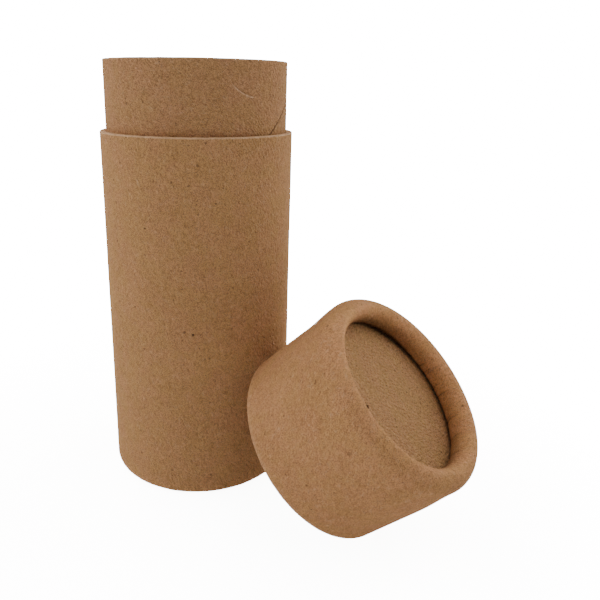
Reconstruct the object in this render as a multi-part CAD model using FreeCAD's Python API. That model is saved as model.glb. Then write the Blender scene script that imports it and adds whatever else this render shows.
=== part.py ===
"""Paper push-up tube for a solid deodorant, standing open with its cap leaning on it.

Every tube here is wound board of even thickness whose end may be curled over. So each one is
drawn in section as a strip that follows a path of straight runs and bends, and is then turned
about the tube's axis. Lengths are in millimetres and angles in degrees.

The origin is the centre of the foot, on the surface that the tube stands on, and +Z is up.
"""

import FreeCAD, Part
import math
import os

# Outer tube
OUTER_RADIUS = 22.0        # outside of the body and of the cap
OUTER_WALL = 1.4
SHOULDER_HEIGHT = 82.4     # cut edge of the outer tube, where the closed cap meets it
FOOT_FLAT = 0.5            # flat of the curled foot, between its two bends
FOOT_LIP_HEIGHT = 5.0      # top of the foot's lip, which carries the push-up piece

# Inner tube, glued into the outer one
INNER_WALL = 1.1
NECK_HEIGHT = 15.6         # stretch that stands out above the shoulder
FOOT_GROOVE_GAP = 0.05     # between the inner tube and the foot's lip

# Cap, its bends taken at mid thickness
CAP_HEIGHT = 27.1
CAP_FIT = 0.1              # radial clearance of the cap over the neck
CAP_SHOULDER_BEND = 3.3    # slow bend out of the side
CAP_CREST_BEND = 1.0       # tight bend over the crest
CAP_RECESS = 6.1           # from the crest down to the disc
CAP_DISC_THICKNESS = 1.5

# Push-up piece, its bends taken at mid thickness
PUSH_UP_FIT = 0.08         # radial running clearance in the inner tube
PUSH_UP_REST_GAP = 0.05    # between its lower edge and the foot's lip
PUSH_UP_HEIGHT = 11.0
PUSH_UP_WALL = 1.1
PUSH_UP_SHOULDER_BEND = 1.6
PUSH_UP_CREST_BEND = 0.9
PUSH_UP_RECESS = 3.4
PUSH_UP_DISC_THICKNESS = 1.4

# Curls and cut edges
SHOULDER_TURN = 53.0       # how far a curl turns in its slow bend
CREST_TURN = 72.0          # how far it turns in its tight bend over the crest
LIP_TURN = 106.0           # how far its lip turns after that, to end tucked outwards
CUT_EDGE_ROUND = 0.2       # worn corners of the open cut edges

# How the loose cap lies: rim on the ground, leaning on the tube
CAP_BEARING = -36.2        # way that its closed end points, seen from above
CAP_TILT = 44.0            # rise of its axis towards the closed end
CAP_ROLL = 7.0             # place on its rim that touches the tube, from the rim's highest point
CAP_LEAN_GAP = 0.03        # left between the cap and the tube where they touch

# Sizes that follow
NECK_RADIUS = OUTER_RADIUS - OUTER_WALL
NECK_TOP = SHOULDER_HEIGHT + NECK_HEIGHT
BORE_RADIUS = NECK_RADIUS - INNER_WALL
CAP_WALL = OUTER_WALL - CAP_FIT
PUSH_UP_RADIUS = BORE_RADIUS - PUSH_UP_FIT
PUSH_UP_BASE = FOOT_LIP_HEIGHT + PUSH_UP_REST_GAP
FOOT_GROOVE_BEND = (INNER_WALL + FOOT_GROOVE_GAP - FOOT_FLAT) / 2.0
FOOT_BEND = FOOT_GROOVE_BEND + OUTER_WALL / 2.0
FOOT_RISE = FOOT_BEND + OUTER_WALL / 2.0

ORIGIN = FreeCAD.Vector(0.0, 0.0, 0.0)
AXIS = FreeCAD.Vector(0.0, 0.0, 1.0)
UP = 90.0
DOWN = -90.0
QUARTER = 90.0


def step(length, heading):
    """Vector in the section's plane, where x is the distance from the axis."""
    angle = math.radians(heading)
    return FreeCAD.Vector(length * math.cos(angle), 0.0, length * math.sin(angle))


class Strip:
    """Section of a strip of board, drawn by moving along the middle of its thickness.

    Headings are outwards at 0 and up at 90, all bends turn left, and a bend's radius is
    taken at mid thickness.
    """

    def __init__(self, radius, height, heading, wall):
        self.middle = FreeCAD.Vector(radius, 0.0, height)
        self.heading = heading
        self.half_wall = wall / 2.0
        self.faces = []
        self.first_cut = self.cut()

    def beside(self, side):
        """Point on the board's left (1) or right (-1) face."""
        return self.middle + step(side * self.half_wall, self.heading + 90.0)

    def cut(self):
        """Square cut across the board."""
        return Part.makeLine(self.beside(1), self.beside(-1))

    def run(self, length):
        """Go straight on."""
        begin = {side: self.beside(side) for side in (1, -1)}
        self.middle += step(length, self.heading)
        for side, point in begin.items():
            self.faces.append(Part.makeLine(point, self.beside(side)))

    def bend(self, radius, turn):
        """Bend left by turn degrees."""
        begin = {side: self.beside(side) for side in (1, -1)}
        centre = self.middle + step(radius, self.heading + 90.0)
        halfway = self.heading - 90.0 + turn / 2.0
        self.heading += turn
        self.middle = centre + step(radius, self.heading - 90.0)
        for side, point in begin.items():
            crown = centre + step(radius - side * self.half_wall, halfway)
            self.faces.append(Part.Arc(point, crown, self.beside(side)).toShape())

    def turned(self):
        """The piece of board, all the way round the axis."""
        edges = Part.__sortEdges__([self.first_cut, self.cut(), *self.faces])
        return Part.Face(Part.Wire(edges)).revolve(ORIGIN, AXIS, 360.0)


def soften(solid, height):
    """Round the corners of the flat cut edge at a height."""
    level = [e for e in solid.Edges if e.BoundBox.ZLength < 1e-6]
    corners = [e for e in level if abs(e.BoundBox.ZMin - height) < 1e-6]
    return solid.makeFillet(CUT_EDGE_ROUND, corners)


def curled_ring(outer_radius, wall, height, recess, shoulder_bend, crest_bend):
    """Short tube, its open rim at z = 0 and its upper end curled in and down.

    The side leans into the crest by a slow bend and goes over it by a tight one. The lip is
    one even bend that swells inwards and then tucks outwards. Its radius brings its lower
    corner onto a disc that lies recess below the crest.
    """
    turns = (SHOULDER_TURN, SHOULDER_TURN + CREST_TURN, SHOULDER_TURN + CREST_TURN + LIP_TURN)
    after_shoulder, after_crest, end = (math.sin(math.radians(turn)) for turn in turns)
    rise = shoulder_bend * after_shoulder + crest_bend * (1.0 - after_shoulder) + wall / 2.0
    drop = recess - wall / 2.0 * (1.0 - end) - crest_bend * (1.0 - after_crest)
    strip = Strip(outer_radius - wall / 2.0, 0.0, UP, wall)
    strip.run(height - rise)
    strip.bend(shoulder_bend, SHOULDER_TURN)
    strip.bend(crest_bend, CREST_TURN)
    strip.bend(drop / (after_crest - end), LIP_TURN)
    return soften(strip.turned(), 0.0)


def pressed_disc(radius, thickness, top):
    """Die-cut disc of board pressed into a ring of this bore, its face at height top."""
    return Part.makeCylinder(radius, thickness, FreeCAD.Vector(0.0, 0.0, top - thickness))


def raised(solid, height):
    """Lift a piece modelled at z = 0."""
    solid.translate(AXIS * height)
    return solid


def leaned(solid):
    """Lay a piece of the upright cap as the loose cap lies.

    Seen from above, the rim is an ellipse that touches the tube's circle, so the line from the
    tube's axis to the point of contact is square to both. The circle followed is the one that
    the rounding of the rim is drawn about.
    """
    bearing, tilt, roll = (math.radians(a) for a in (CAP_BEARING, CAP_TILT, CAP_ROLL))
    ahead = FreeCAD.Vector(math.cos(bearing), math.sin(bearing), 0.0)
    across = FreeCAD.Vector(-math.sin(bearing), math.cos(bearing), 0.0)
    cap_axis = ahead * math.cos(tilt) + AXIS * math.sin(tilt)
    rim = OUTER_RADIUS - CUT_EDGE_ROUND
    contact = across * (rim * math.sin(roll)) - ahead * (rim * math.sin(tilt) * math.cos(roll))
    towards_tube = across * (math.sin(tilt) * math.sin(roll)) - ahead * math.cos(roll)
    towards_tube.normalize()
    reach = OUTER_RADIUS + CAP_LEAN_GAP + CUT_EDGE_ROUND
    centre = AXIS * (rim * math.cos(tilt) + CUT_EDGE_ROUND) - contact - towards_tube * reach
    open_end = centre - cap_axis * CUT_EDGE_ROUND
    solid.Placement = FreeCAD.Placement(open_end, FreeCAD.Rotation(AXIS, cap_axis))
    return solid


def outer_tube():
    """Body sleeve: the lip comes down, turns through the foot and goes up as the side."""
    foot_width = 2.0 * FOOT_RISE + FOOT_FLAT
    lip_middle = OUTER_RADIUS - foot_width + OUTER_WALL / 2.0
    strip = Strip(lip_middle, FOOT_LIP_HEIGHT, DOWN, OUTER_WALL)
    strip.run(FOOT_LIP_HEIGHT - FOOT_RISE)
    strip.bend(FOOT_BEND, QUARTER)
    strip.run(FOOT_FLAT)
    strip.bend(FOOT_BEND, QUARTER)
    strip.run(SHOULDER_HEIGHT - FOOT_RISE)
    return soften(strip.turned(), SHOULDER_HEIGHT)


def inner_tube():
    """Plain tube from the foot's groove to the top of the neck."""
    strip = Strip(NECK_RADIUS - INNER_WALL / 2.0, FOOT_RISE, UP, INNER_WALL)
    strip.run(NECK_TOP - FOOT_RISE)
    return soften(strip.turned(), NECK_TOP)


def cap_shell():
    """Curled ring of the outer tube's size."""
    bends = (CAP_SHOULDER_BEND, CAP_CREST_BEND)
    return leaned(curled_ring(OUTER_RADIUS, CAP_WALL, CAP_HEIGHT, CAP_RECESS, *bends))


def cap_disc():
    """Floor of the cap's recess."""
    top = CAP_HEIGHT - CAP_RECESS
    return leaned(pressed_disc(OUTER_RADIUS - CAP_WALL, CAP_DISC_THICKNESS, top))


def push_up_ring():
    """Curled ring that slides in the inner tube."""
    bends = (PUSH_UP_SHOULDER_BEND, PUSH_UP_CREST_BEND)
    ring = curled_ring(PUSH_UP_RADIUS, PUSH_UP_WALL, PUSH_UP_HEIGHT, PUSH_UP_RECESS, *bends)
    return raised(ring, PUSH_UP_BASE)


def push_up_disc():
    """Plate that the product stands on and a finger pushes up."""
    top = PUSH_UP_HEIGHT - PUSH_UP_RECESS
    disc = pressed_disc(PUSH_UP_RADIUS - PUSH_UP_WALL, PUSH_UP_DISC_THICKNESS, top)
    return raised(disc, PUSH_UP_BASE)


PIECES = (outer_tube, inner_tube, cap_shell, cap_disc, push_up_ring, push_up_disc)


def main():
    """Write one STEP file for each piece of board."""
    os.makedirs("parts", exist_ok=True)
    for piece in PIECES:
        piece().exportStep(os.path.join("parts", piece.__name__ + ".step"))


main()
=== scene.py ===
"""Paper push-up tube and its loose cap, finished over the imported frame.

Every ring of this object is a strip of board whose end may be curled over. A piece is first
worked out flat, in the board's own coordinates: "along" runs up the strip, "across" runs
through its thickness and "around" is the angle about the axis. Dents, creases, laps and
pleats are added there. The strip is then carried along its path of straight runs and bends
and turned about the axis.
"""

import math

import bpy
import numpy as np
from bpy.props import FloatProperty, FloatVectorProperty, PointerProperty
from mathutils import Matrix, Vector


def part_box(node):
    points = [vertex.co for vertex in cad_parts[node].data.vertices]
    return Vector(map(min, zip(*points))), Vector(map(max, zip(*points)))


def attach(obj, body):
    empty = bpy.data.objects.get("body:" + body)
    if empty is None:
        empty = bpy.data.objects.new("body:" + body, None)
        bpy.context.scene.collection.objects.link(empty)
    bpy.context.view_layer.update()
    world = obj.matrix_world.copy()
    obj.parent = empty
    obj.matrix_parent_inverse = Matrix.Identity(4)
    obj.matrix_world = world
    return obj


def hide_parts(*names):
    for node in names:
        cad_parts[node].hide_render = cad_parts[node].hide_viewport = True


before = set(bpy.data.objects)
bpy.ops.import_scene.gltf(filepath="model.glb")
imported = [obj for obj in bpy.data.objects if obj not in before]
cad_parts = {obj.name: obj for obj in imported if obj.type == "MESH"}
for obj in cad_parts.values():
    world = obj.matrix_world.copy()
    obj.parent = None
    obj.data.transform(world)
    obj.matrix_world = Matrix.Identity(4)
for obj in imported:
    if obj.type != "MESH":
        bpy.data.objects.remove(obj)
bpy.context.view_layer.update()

bl_info = {
    "name": "Paper Push-Up Tube",
    "version": (1, 0, 0),
    "blender": (4, 5, 0),
    "location": "3D View > Sidebar > Push-Up Tube",
    "description": "Makes the board sleeves, cap, push-up piece and stage of a paper push-up tube",
    "category": "Add Mesh",
}

MM = 0.001
FULL_TURN = 2.0 * math.pi
SHOULDER_TURN, CREST_TURN, LIP_TURN = 53.0, 72.0, 106.0     # degrees turned in a curl's three bends
# Of these vertex values, the first is painted light and shade multiplied into the colour, the third is
# worn corners and partly painted highlight, and the fourth is mostly painted shade, with the laps' dark
# lines
LAYERS = ("painted_light", "calm", "wear_and_highlight", "crease", "ply")          # values that each vertex carries


# ---------------------------------------------------------------- sizes taken from the frame


def mesh_points(mesh):
    """Vertex places of a mesh, in metres."""
    flat = np.empty(len(mesh.vertices) * 3, np.float32)
    mesh.vertices.foreach_get("co", flat)
    return flat.reshape(-1, 3).astype(float)


def node_points(node):
    """Every different corner of a CAD node's mesh."""
    return np.unique(mesh_points(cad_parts[node].data).round(7), axis=0)


def cap_place():
    """Open end, axes and levels of the loose cap as it lies in the frame.

    The cap's disc is a flat cylinder, so its axis is the direction in which its corners
    spread least, taken pointing up. Levels are distances along that axis from the open end,
    which is the lowest level of the shell. Rows of the axes are the cap's own x, y and z in
    the frame: x is level, z is the axis.
    """
    disc, shell = node_points("cap_disc"), node_points("cap_shell")
    middle = disc.mean(axis=0)
    axis = np.linalg.svd(disc - middle)[2][2]
    axis *= np.sign(axis[2])
    level = np.cross((0.0, 0.0, 1.0), axis)
    level /= np.linalg.norm(level)
    shell_levels, disc_levels = (shell - middle) @ axis, (disc - middle) @ axis
    open_end = middle + axis * shell_levels.min()
    axes = np.stack([level, np.cross(axis, level), axis])
    height = shell_levels.max() - shell_levels.min()
    return open_end, axes, height, disc_levels.max() - shell_levels.min()


def top(node):
    """Height of a node's highest point."""
    return round(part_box(node)[1].z, 6)


def bottom(node):
    """Height of a node's lowest point."""
    return round(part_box(node)[0].z, 6)


def reach(node):
    """Radius of an upright round node: the least that its box reaches from the axis."""
    low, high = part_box(node)
    return round(min(-low.x, -low.y, high.x, high.y), 6)


CAP_OPEN_END, CAP_AXES, CAP_HEIGHT, CAP_FLOOR_LEVEL = cap_place()


# ------------------------------------------------------------------------------- properties


def number(name, description, default, **settings):
    """A number property."""
    return FloatProperty(name=name, description=description, default=default, **settings)


def length(name, description, default):
    """A length, in metres."""
    return number(name, description, default, precision=5, unit="LENGTH", subtype="DISTANCE")


def angle(name, description, degrees):
    """An angle, given in degrees."""
    return number(name, description, math.radians(degrees), unit="ROTATION", subtype="ANGLE")


def share(name, description, default):
    """A plain number, 0 or more."""
    return number(name, description, default, min=0.0, subtype="FACTOR")


def light(name, description, default):
    """Power of a light."""
    return number(name, description, default, min=0.0, unit="POWER")


def colour(name, description, default):
    """A colour, scene linear."""
    return FloatVectorProperty(
        name=name, description=description, default=(*default, 1.0), size=4,
        min=0.0, max=1.0, subtype="COLOR",
    )


class PUSHUP_PG_sleeves(bpy.types.PropertyGroup):
    """Sizes of the outer and inner sleeves."""

    radius: length("Outer radius", "Outside of the outer sleeve", reach("outer_tube"))
    wall: length("Outer wall", "Thickness of the outer sleeve's board", 1.4 * MM)
    shoulder: length("Shoulder height", "Cut edge of the outer sleeve", top("outer_tube"))
    foot_flat: length("Foot flat", "Flat between the foot's two bends", 0.5 * MM)
    foot_lip: length("Foot lip height", "Top of the lip that carries the push-up piece", 5.0 * MM)
    neck_radius: length("Neck radius", "Outside of the inner sleeve", reach("inner_tube"))
    neck_wall: length("Inner wall", "Thickness of the inner sleeve's board", 1.1 * MM)
    neck_bottom: length("Inner sleeve bottom", "Lower end of the inner sleeve", bottom("inner_tube"))
    neck_top: length("Neck top", "Upper end of the inner sleeve", top("inner_tube"))
    seam_angle: angle("Seam angle", "Where the winding seam crosses the shoulder's height", -43.0)
    seam_rise: length("Seam rise", "Height that the winding seam gains in one turn", 95.7 * MM)
    lap_angle: angle("Lap angle", "Where the outer sleeve's wrapping paper overlaps", 112.0)


class PUSHUP_PG_cap(bpy.types.PropertyGroup):
    """Sizes of the cap, its bends taken at mid thickness."""

    radius: length("Cap radius", "Outside of the cap", reach("outer_tube"))
    wall: length("Cap wall", "Thickness of the cap's board", 1.3 * MM)
    height: length("Cap height", "From the open rim to the crest", round(CAP_HEIGHT, 6))
    recess: length("Recess", "From the crest down to the disc", round(CAP_HEIGHT - CAP_FLOOR_LEVEL, 6))
    shoulder_bend: length("Shoulder bend", "Slow bend out of the side", 3.3 * MM)
    crest_bend: length("Crest bend", "Tight bend over the crest", 1.0 * MM)
    lip_gap: length("Lip gap", "Shadow gap between the curled lip and the disc", 0.3 * MM)
    slip: length("Slip", "How far the curled end has slipped to one side", 0.4 * MM)
    slant: angle("Slant", "How far the curled end is out of square", 0.86)
    disc: length("Disc thickness", "Thickness of the disc that closes the cap", 1.5 * MM)
    lap_angle: angle("Lap angle", "Where the cap's wrapping paper overlaps", -32.0)
    # This angle places painted shade on the lip's end and in the disc's crevice, and painted light on
    # the disc just inside the lip.
    crevice_shade_angle: angle("Shut angle", "Where the lip is pressed hardest on the disc", 40.0)


class PUSHUP_PG_push_up(bpy.types.PropertyGroup):
    """Sizes of the push-up piece, its bends taken at mid thickness."""

    radius: length("Push-up radius", "Outside of the collar", reach("push_up_ring"))
    wall: length("Collar wall", "Thickness of the collar's board", 1.1 * MM)
    base: length("Base height", "Lower rim of the collar at rest", bottom("push_up_ring"))
    crest: length("Crest height", "Highest line of the collar at rest", top("push_up_ring"))
    plate_top: length("Plate height", "Upper face of the plate at rest", top("push_up_disc"))
    plate: length("Plate thickness", "Thickness of the plate", 1.4 * MM)
    shoulder_bend: length("Shoulder bend", "Slow bend out of the side", 1.6 * MM)
    crest_bend: length("Crest bend", "Tight bend over the crest", 0.9 * MM)


class PUSHUP_PG_finish(bpy.types.PropertyGroup):
    """Colours and surface of the kraft board."""

    body: colour("Body board", "Colour of the outer sleeve", (0.418, 0.2205, 0.0965))
    neck: colour("Neck board", "Colour of the inner sleeve", (0.392, 0.2060, 0.0946))
    cap: colour("Cap board", "Colour of the cap", (0.436, 0.2205, 0.0955))
    disc: colour("Disc board", "Colour of the pressed discs", (0.488, 0.2650, 0.1180))
    # The pale colour is also that of the painted highlights on the sleeve's upper cut and the neck's
    # crease ridge.
    pale: colour("Pale fibre", "Loose pale fibres and worn corners", (0.760, 0.495, 0.300))
    # The fleck colour is also the colour of the painted shade in seams, crevices, pleats and hollows.
    fleck: colour("Dark fleck", "Bark flecks, dark fibres and open seams", (0.062, 0.030, 0.012))
    core: colour("Board core", "Cut edge of the board", (0.680, 0.420, 0.235))
    mottle: share("Mottle", "Strength of the cloudiness between fibres", 1.0)
    grain: share("Grain", "Strength of the finest grain", 1.5)
    relief: length("Relief", "Height of the paper's surface relief", 0.22 * MM)


class PUSHUP_PG_stage(bpy.types.PropertyGroup):
    """Camera and lights."""

    camera_distance: length("Camera distance", "From the tube's axis, level", 148.59 * MM)
    camera_height: length("Camera height", "Above the floor", 93.14 * MM)
    camera_turn: angle("Camera turn", "To the right of the tube's axis", 6.5524)
    camera_pitch: angle("Camera pitch", "Below level", 16.4796)
    camera_roll: angle("Camera roll", "About the line of sight", -0.8730)
    camera_lens: number("Lens", "Focal length", 37.37, unit="CAMERA")
    key: light("Key light", "Large light behind at the left", 3.1)
    fill: light("Fill light", "Large light at the left", 2.9)
    high: light("High light", "Large light high at the right", 2.5)
    side: light("Side light", "Low light at the right", 0.95)
    back: light("Back light", "Low light behind at the right", 2.3)
    glow: number("Floor glow", "Light that the white floor sends up", 0.32, min=0.0)
    white: number("White", "How bright the empty floor and room look", 20.0, min=0.0)


class PUSHUP_PG_settings(bpy.types.PropertyGroup):
    """Everything that a user would change."""

    sleeves: PointerProperty(type=PUSHUP_PG_sleeves)
    cap: PointerProperty(type=PUSHUP_PG_cap)
    push_up: PointerProperty(type=PUSHUP_PG_push_up)
    finish: PointerProperty(type=PUSHUP_PG_finish)
    stage: PointerProperty(type=PUSHUP_PG_stage)


# -------------------------------------------------------------------------- board, worked out


def smooth_step(value, low, high):
    """0 below low, 1 above high and 3u^2 - 2u^3 between, u being the share of the way."""
    u = np.clip((value - low) / (high - low), 0.0, 1.0)
    return u * u * (3.0 - 2.0 * u)


def bell(value, width):
    """Bell curve: e to the minus square of value over width."""
    return np.exp(-((value / width) ** 2))


def apart(around, place):
    """Angle from a place, brought into the half turn on either side of it."""
    return (around - place + math.pi) % FULL_TURN - math.pi


def spread(low, high, count, density):
    """Places from low to high that lie closer where the density is higher.

    They are where the density's running total has grown by equal steps.
    """
    fine = np.linspace(low, high, 6000)
    total = np.cumsum(density(fine))
    return np.interp(np.linspace(total[0], total[-1], count), total, fine)


def unevenness(around, along, seed, turns, wavelength, waves=14):
    """Seeded sum of cosines, held between -1 and 1.

    Each cosine has a whole number of waves round the axis, up to turns, so that it closes on
    itself, and a wavelength along the board of at least the one given.
    """
    rng = np.random.default_rng(seed)
    whole = rng.integers(1, turns + 1, waves)
    pitch = FULL_TURN * rng.uniform(-1.0, 1.0, waves) / wavelength
    phase = rng.uniform(0.0, FULL_TURN, waves)
    angles = around[..., None] * whole + along[..., None] * pitch + phase
    return np.clip(np.cos(angles).sum(axis=-1) / math.sqrt(2.0 * waves), -1.0, 1.0)


def before_each(steps):
    """Running total before each step: 0, then the sums without the last."""
    sums = np.cumsum(steps, axis=-1)
    return np.concatenate([np.zeros_like(sums[..., :1]), sums[..., :-1]], axis=-1)


def run(distance):
    """Straight run of a strip, as (length, turn)."""
    return distance, 0.0


def bend(radius, degrees):
    """Bend of a strip to the left, as (length at mid thickness, turn)."""
    turn = math.radians(degrees)
    return radius * turn, turn


class Strip:
    """Path of a strip of board in section, made of straight runs and bends.

    Headings are outwards at 0 and up at 90. Along a move the heading grows evenly from its
    first value. A stretch of length d that turns by a has a chord of d sin(a/2) / (a/2) in
    the direction halfway through the turn, which holds for a straight run as well. The
    corner is the rounding of its cut edges.
    """

    def __init__(self, radius, height, heading, moves, wall, corner):
        lengths, turns = np.array(moves).T
        self.wall, self.corner = wall, corner
        self.begin = before_each(lengths)
        self.length = lengths.sum()
        self.bent = turns / lengths
        self.heading = math.radians(heading) + before_each(turns)
        chord = lengths * np.sinc(turns / FULL_TURN)
        half_way = self.heading + turns / 2.0
        moved = np.stack([chord * np.cos(half_way), chord * np.sin(half_way)])
        self.start = np.array([[radius], [height]]) + before_each(moved)

    def move_at(self, along):
        """Number of the move that holds each place along the strip."""
        return np.clip(np.searchsorted(self.begin, along, side="right") - 1, 0, len(self.begin) - 1)

    def place(self, along, across):
        """Distance from the axis and height of points given along and across the board.

        The middle of the board is reached along the chord, and the point lies off it by
        across, to the left of the heading there.
        """
        move = self.move_at(along)
        gone = along - self.begin[move]
        half_turn = self.bent[move] * gone / 2.0
        chord = gone * np.sinc(half_turn / math.pi)
        towards = self.heading[move] + half_turn
        heading = towards + half_turn
        out = self.start[0][move] + chord * np.cos(towards) - across * np.sin(heading)
        up = self.start[1][move] + chord * np.sin(towards) + across * np.cos(heading)
        return out, up

    def end_radius(self):
        """Distance from the axis of the far end of the right face."""
        return float(self.place(np.array(self.length), np.array(-self.wall / 2.0))[0])

    def crowding(self, along):
        """Density of rows: one for a straight run, and more the tighter the bend."""
        return 1.0 + 9.0 * MM * np.abs(self.bent[self.move_at(along)])

    def rows(self, count, density=None):
        """Places of rows along a face, as dense as the density or the crowding says."""
        return spread(self.corner, self.length - self.corner, count, density or self.crowding)


def curled_strip(sizes, base, height, recess, corner, lip_gap=0.0):
    """Path of a ring's board from its open rim, over its crest, to the end of its lip.

    Its upper end is curled in and down. The side's length is the height less the rise of
    the first two bends. The lip is one even bend, which leaves it tucked outwards over the
    disc. The lip's radius is what makes its lower corner end at the recess, less a narrow
    gap: the drop left for it over the difference of the cosines of its last and first
    heading.
    """
    wall, shoulder_bend, crest_bend = sizes.wall, sizes.shoulder_bend, sizes.crest_bend
    headings = 90.0 + np.cumsum([SHOULDER_TURN, CREST_TURN, LIP_TURN])
    lean, crest, end = (math.cos(math.radians(heading)) for heading in headings)
    rise = shoulder_bend * math.sin(math.radians(SHOULDER_TURN)) + crest_bend * (1.0 + lean) + wall / 2.0
    drop = recess - lip_gap - wall / 2.0 * (1.0 + end) - crest_bend * (1.0 + crest)
    moves = [
        run(height - rise), bend(shoulder_bend, SHOULDER_TURN), bend(crest_bend, CREST_TURN),
        bend(drop / (end - crest), LIP_TURN),
    ]
    return Strip(sizes.radius - wall / 2.0, base, 90.0, moves, wall, corner)


def board_outline(strip, right, left, cut_rows):
    """Closed outline of a strip's section in the board's own coordinates.

    It is a rectangle with quarter-round corners. It goes up the right face, across the far
    cut, back down the left face and across the near cut, which is the far cut turned half
    round. Right and left are the rows' places along those faces.
    """
    half, end, corner = strip.wall / 2.0, strip.length, strip.corner
    turn = np.linspace(0.0, math.pi / 2.0, 6)
    flat = np.linspace(corner - half, half - corner, cut_rows)[1:-1]
    cut_along = np.concatenate([
        end - corner + corner * np.sin(turn[1:]),
        np.full(flat.size, end),
        end - corner + corner * np.cos(turn[:-1]),
    ])
    cut_across = np.concatenate([
        corner - half - corner * np.cos(turn[1:]),
        flat,
        half - corner + corner * np.sin(turn[:-1]),
    ])
    along = np.concatenate([right, cut_along, left[::-1], end - cut_along])
    across = np.concatenate([
        np.full(right.size, -half), cut_across, np.full(left.size, half), -cut_across,
    ])
    return along[:, None], across[:, None]


def columns(count, *crowded):
    """Angles round the axis, closer near each crowded (place, width, boost)."""
    def density(around):
        crowding = np.ones_like(around)
        for place, width, boost in crowded:
            crowding += boost * bell(apart(around, place), width)
        return crowding
    return spread(0.0, FULL_TURN, count + 1, density)[:-1][None, :]


def turned(out, up, around):
    """Points of a section turned about the z axis: (out cos, out sin, up)."""
    return np.stack([out * np.cos(around), out * np.sin(around), up + 0.0 * around], axis=-1)


def on_side(radius, up, degrees):
    """Point on the side of an upright tube."""
    return turned(np.array(radius), np.array(up), np.array(math.radians(degrees)))


def outline_length(out, up):
    """Distance round a closed outline up to each row, and the whole way round at the end."""
    steps = np.hypot(np.diff(out, append=out[:1]), np.diff(up, append=up[:1]))
    return np.concatenate([[0.0], np.cumsum(steps)])


# ----------------------------------------------------------------------------------- meshes


def grid_corners(rows, cols, wraps):
    """Vertex numbers of the quads of a grid, and the same corners as (row, column).

    Going round the columns and then up the rows turns every face outwards. Columns always
    close on themselves and rows do where the grid wraps.
    """
    i, j = np.meshgrid(np.arange(rows if wraps else rows - 1), np.arange(cols), indexing="ij")
    row = np.stack([i, i, i + 1, i + 1], axis=-1).reshape(-1, 4)
    col = np.stack([j, j + 1, j + 1, j], axis=-1).reshape(-1, 4)
    return (row % rows) * cols + col % cols, row, col


def finish_mesh(name, points, loops, sizes, uv, layers, cut):
    """Mesh from arrays: vertex places, loops of vertex numbers, loops in each face, a UV pair
    for each loop, named values for each vertex and which faces have the second material."""
    mesh = bpy.data.meshes.new(name)
    mesh.vertices.add(len(points))
    mesh.vertices.foreach_set("co", points.astype(np.float32).ravel())
    mesh.loops.add(len(loops))
    mesh.loops.foreach_set("vertex_index", loops.astype(np.int32))
    mesh.polygons.add(len(sizes))
    mesh.polygons.foreach_set("loop_start", before_each(sizes).astype(np.int32))
    mesh.polygons.foreach_set("use_smooth", np.ones(len(sizes), bool))
    mesh.uv_layers.new(name="sheet").uv.foreach_set("vector", uv.astype(np.float32).ravel())
    for layer, values in layers.items():
        attribute = mesh.attributes.new(layer, "FLOAT", "POINT")
        attribute.data.foreach_set("value", values.astype(np.float32).ravel())
    mesh.update(calc_edges=True)
    if mesh.validate():
        raise ValueError(f"the surface of {name} has faults")
    mesh.polygons.foreach_set("material_index", cut.astype(np.int32))
    return mesh


def ring_mesh(name, points, around, travelled, radius, layers, edge_rows):
    """Mesh of a turned board, a grid closed both ways.

    The UV map is in metres: angle times radius one way, distance round the section the
    other. Faces between two rows that lie on a cut get the second material. Layers that
    aren't given are 0.
    """
    rows, cols = points.shape[:2]
    loops, row, col = grid_corners(rows, cols, True)
    around = np.broadcast_to(around, (rows, cols))
    u = (around[row % rows, col % cols] + FULL_TURN * (col == cols)) * radius
    uv = np.stack([u, travelled[row]], axis=-1)
    flat = {key: np.broadcast_to(layers.get(key, 0.0), (rows, cols)) for key in LAYERS}
    cut = edge_rows[row[:, 0]] & edge_rows[row[:, 2] % rows]
    return finish_mesh(
        name, points.reshape(-1, 3), loops.ravel(), np.full(len(loops), 4), uv, flat, cut
    )


def disc_mesh(name, points, first, last, layers, edge_rows):
    """Mesh of a disc, a grid of rings with a fan of triangles at each pole.

    The UV map is the disc's own plane, in metres. First and last are the pole points. At
    the poles the ply is a half and the other layers are 0.
    """
    rows, cols = points.shape[:2]
    loops, row, _ = grid_corners(rows, cols, False)
    verts = np.concatenate([points.reshape(-1, 3), [first], [last]])
    j = np.arange(cols)
    fan = np.full(cols, rows * cols)
    low = np.stack([fan, (j + 1) % cols, j], axis=-1)
    high = np.stack([fan + 1, (rows - 1) * cols + j, (rows - 1) * cols + (j + 1) % cols], axis=-1)
    loops = np.concatenate([loops.ravel(), low.ravel(), high.ravel()])
    sizes = np.concatenate([np.full(len(row), 4), np.full(2 * cols, 3)])
    flat = {}
    for key in LAYERS:
        values = np.broadcast_to(layers.get(key, 0.0), (rows, cols)).ravel()
        flat[key] = np.concatenate([values, np.full(2, 0.5 if key == "ply" else 0.0)])
    cut = np.concatenate([edge_rows[row[:, 0]] & edge_rows[row[:, 2]], np.zeros(2 * cols, bool)])
    return finish_mesh(name, verts, loops, sizes, verts[loops, :2], flat, cut)


def out_of_true(points, sizes):
    """Points of the upright cap, its curled end slipped to one side and a little slanted.

    From the middle of the side upwards, a smooth step from 0 to 1 times the slip moves them
    along y, and the same step times y and the slant lowers them.
    """
    x, y, z = points.T
    share_up = smooth_step(z, 0.57 * sizes.height, 0.85 * sizes.height)
    return np.stack([x, y + share_up * sizes.slip, z - share_up * sizes.slant * y], axis=-1)


def laid(points, sizes):
    """Where points of the upright cap lie in the frame: open end + point times its axes."""
    return out_of_true(points, sizes) @ CAP_AXES + CAP_OPEN_END


def lay_down(mesh, sizes):
    """Carries a mesh made upright to where the cap lies."""
    points = laid(mesh_points(mesh), sizes)
    mesh.vertices.foreach_set("co", points.astype(np.float32).ravel())
    mesh.update()


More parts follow.
